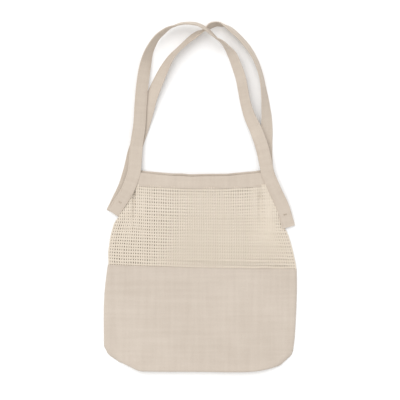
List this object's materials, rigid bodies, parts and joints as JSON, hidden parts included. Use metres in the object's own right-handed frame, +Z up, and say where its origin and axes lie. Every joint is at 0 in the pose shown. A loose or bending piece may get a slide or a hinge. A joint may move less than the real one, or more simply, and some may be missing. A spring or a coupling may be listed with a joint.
{
  "type": "mesh produce bag",
  "caption": "Flat cotton shopping bag with a canvas lower part, a square-mesh net upper part and two long shoulder straps.",
  "frame": {"origin": "middle of the bounding box, on the surface that the bag lies on", "axes": "+X across the bag's width, +Y from the bottom seam towards the straps, +Z up off the surface, out of the front panel"},
  "size_m": [0.384, 0.7, 0.0435],
  "materials": {
    "canvas": "natural cotton canvas, plain weave",
    "net": "natural cotton net yarn",
    "strap": "natural cotton canvas, folded and stitched",
    "thread": "cotton sewing thread"
  },
  "bodies": {
    "bag": {"canvas_panel_front": "canvas", "canvas_panel_back": "canvas", "net_panel_front": "net", "net_panel_back": "net", "top_band_front": "strap", "top_band_back": "strap", "strap_end_front_left": "strap", "strap_end_front_right": "strap", "strap_end_back_left": "strap", "strap_end_back_right": "strap", "bottom_seam": "canvas", "side_seam_left": "canvas", "side_seam_right": "canvas", "canvas_hem_front": "canvas", "canvas_hem_back": "canvas", "seam_stitching_front": "thread", "seam_stitching_back": "thread", "band_stitching_front": "thread", "band_stitching_back": "thread", "strap_end_stitching": "thread", "bar_tacks": "thread"},
    "back_handle": {"handle_back": "strap", "handle_stitching_back": "thread"},
    "front_handle": {"handle_front": "strap", "handle_stitching_front": "thread"}
  },
  "joints": [
    {"name": "back_handle_lift", "type": "hinge", "parent": "bag", "child": "back_handle", "pos_m": [0, 0.05204, 0.0137], "axis": [1, 0, 0], "range_deg": [0, 90]},
    {"name": "front_handle_fold", "type": "hinge", "parent": "back_handle", "child": "front_handle", "pos_m": [0, 0.05204, 0.0137], "axis": [1, 0, 0], "range_deg": [0, 80]}
  ]
}
